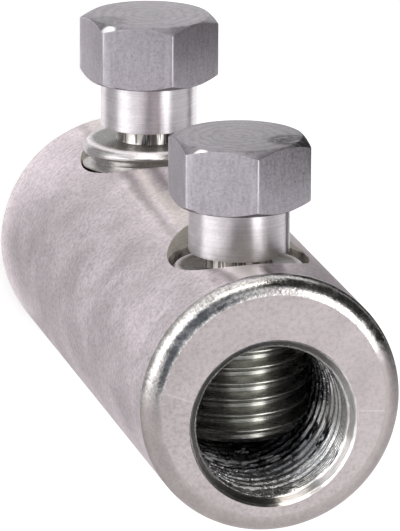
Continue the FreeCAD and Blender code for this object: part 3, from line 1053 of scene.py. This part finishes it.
STUDIO_CENTRE = Vector((0.0, 0.0, 0.04))
WHITE = (1.0, 1.0, 1.0, 1.0)
WORLD_LEVEL = 0.45
FLOOR_LIFT = 0.55
BLACK_CARD = (0.05, 0.05, 0.05)
BLUE_CARD = (0.20, 0.23, 0.28)


def make_camera():
    data = bpy.data.cameras.new("camera")
    data.sensor_width = 36.0
    data.lens = FOCAL_PIXELS * data.sensor_width / max(IMAGE_WIDTH, IMAGE_HEIGHT)
    data.clip_start = 0.01
    camera = bpy.data.objects.new("camera", data)
    bpy.context.scene.collection.objects.link(camera)
    back = CAMERA_BACK.normalized()
    right = CAMERA_UP.cross(back).normalized()
    up = back.cross(right)
    turned = Matrix((right, up, back)).transposed().to_4x4()
    camera.matrix_world = Matrix.Translation(CAMERA_TARGET + back * CAMERA_DISTANCE) @ turned
    bpy.context.scene.camera = camera


def facing_centre(place):
    """A turn that points an object's -Z at the middle of the sleeve."""
    return (STUDIO_CENTRE - place).to_track_quat("-Z", "Y").to_euler()


def softbox(name, direction, distance, size, radiance, colour=(1.0, 1.0, 1.0)):
    lamp = bpy.data.lights.new(name, "AREA")
    lamp.shape = "RECTANGLE"
    lamp.size, lamp.size_y = size
    lamp.energy = radiance * math.pi * size[0] * size[1]
    lamp.color = colour
    obj = bpy.data.objects.new(name, lamp)
    bpy.context.scene.collection.objects.link(obj)
    obj.location = STUDIO_CENTRE + Vector(direction).normalized() * distance
    obj.rotation_euler = facing_centre(obj.location)


def seen_directly(tree):
    """1 for rays of the camera, of gloss and of glass, 0 for those that only gather soft light."""
    path = tree.nodes.new("ShaderNodeLightPath")
    seen = path.outputs["Is Camera Ray"]
    for name in ("Is Glossy Ray", "Is Transmission Ray"):
        both = tree.nodes.new("ShaderNodeMath")
        both.operation = "MAXIMUM"
        tree.links.new(seen, both.inputs[0])
        tree.links.new(path.outputs[name], both.inputs[1])
        seen = both.outputs[0]
    return seen


def matt_shader(obj, name, colour):
    """Gives the object a matt material and returns the material's node tree and shader."""
    material = bpy.data.materials.new(name)
    material.use_nodes = True
    shader = material.node_tree.nodes["Principled BSDF"]
    shader.inputs["Base Color"].default_value = (*colour, 1.0)
    shader.inputs["Specular IOR Level"].default_value = 0.0
    obj.data.materials.append(material)
    return material.node_tree, shader


def make_floor():
    bpy.ops.mesh.primitive_plane_add(size=3)
    floor = bpy.context.object
    floor.name = "floor"
    tree, shader = matt_shader(floor, "floor", (0.8, 0.8, 0.8))
    shader.inputs["Roughness"].default_value = 0.9
    shader.inputs["Emission Color"].default_value = WHITE
    lift = tree.nodes.new("ShaderNodeMath")
    lift.operation = "MULTIPLY"
    lift.inputs[1].default_value = FLOOR_LIFT
    tree.links.new(seen_directly(tree), lift.inputs[0])
    tree.links.new(lift.outputs[0], shader.inputs["Emission Strength"])


def make_world():
    world = bpy.data.worlds.new("studio")
    bpy.context.scene.world = world
    world.use_nodes = True
    tree = world.node_tree
    background = tree.nodes["Background"]
    background.inputs["Color"].default_value = WHITE
    seen = seen_directly(tree)
    level = tree.nodes.new("ShaderNodeMapRange")
    level.inputs["To Min"].default_value = WORLD_LEVEL
    level.inputs["To Max"].default_value = 1.0
    tree.links.new(seen, level.inputs["Value"])
    tree.links.new(level.outputs[0], background.inputs["Strength"])


def card(name, place, size, colour, turn=None):
    """A matt card that only gloss sees, for the darker bands that metal shows in a studio. It faces
    the sleeve unless it lies flat, with a turn in degrees."""
    corners = ((-1, -1), (1, -1), (1, 1), (-1, 1))
    vertices = [(x * size[0] / 2, y * size[1] / 2, 0.0) for x, y in corners]
    obj = new_object(name, vertices, [(0, 1, 2, 3)])
    obj.location = place
    if turn is None:
        obj.rotation_euler = facing_centre(obj.location)
    else:
        obj.rotation_euler.z = math.radians(turn)
    obj.visible_camera = False
    obj.visible_diffuse = False
    obj.visible_shadow = False
    obj.visible_transmission = False
    shader = matt_shader(obj, name, colour)[1]
    shader.inputs["Roughness"].default_value = 1.0


sleeve = make_sleeve()
drops = make_drops()
bolts = {node: make_bolt(node) for node in BODIES}
for piece in (sleeve, drops, *bolts.values()):
    piece.data.calc_loop_triangles()
    print(piece.name, len(piece.data.loop_triangles), "triangles")

paint_sleeve(sleeve)
drops.data.materials.append(painted_glint_drop_surface())
for node, bolt in bolts.items():
    paint_bolt(bolt, node)

make_camera()
make_world()
make_floor()

# Lights: direction from the sleeve's middle, distance, size, radiance and colour
softbox("left_light", (0.93, -0.25, 0.07), 0.15, (0.22, 0.066), 0.50)
softbox("corner_light", (0.853, -0.453, 0.259), 0.7, (0.62, 0.34), 1.9)
softbox("top_light", (-0.47, 0.05, 0.88), 0.9, (0.80, 0.32), 2.9)
softbox("high_light", (0.10, -0.94, 0.31), 0.8, (0.42, 0.20), 3.6, (1.0, 0.96, 0.88))

# Cards: place, size and colour
card("front_card", (0.10, -0.035, 0.50), (0.32, 0.36), BLUE_CARD)
card("right_card", (-0.105, -0.040, 0.070), (0.15, 0.140), BLACK_CARD)
card("brow_card", (0.140, -0.195, 0.330), (0.34, 0.18), BLUE_CARD)
card("over_card", (-0.088, -0.112, 0.112), (0.16, 0.17), BLACK_CARD)
card("left_card", (0.085, 0.0, 0.0015), (0.14, 0.16), (0.66, 0.66, 0.66), 0)
card("edge_card", (0.0, 0.045, 0.0015), (0.03, 0.07), (0.74, 0.74, 0.74), 0)
card("low_card", (-0.068, -0.040, 0.001), (0.075, 0.14), BLACK_CARD, 21)

bpy.context.scene.view_settings.view_transform = "Standard"
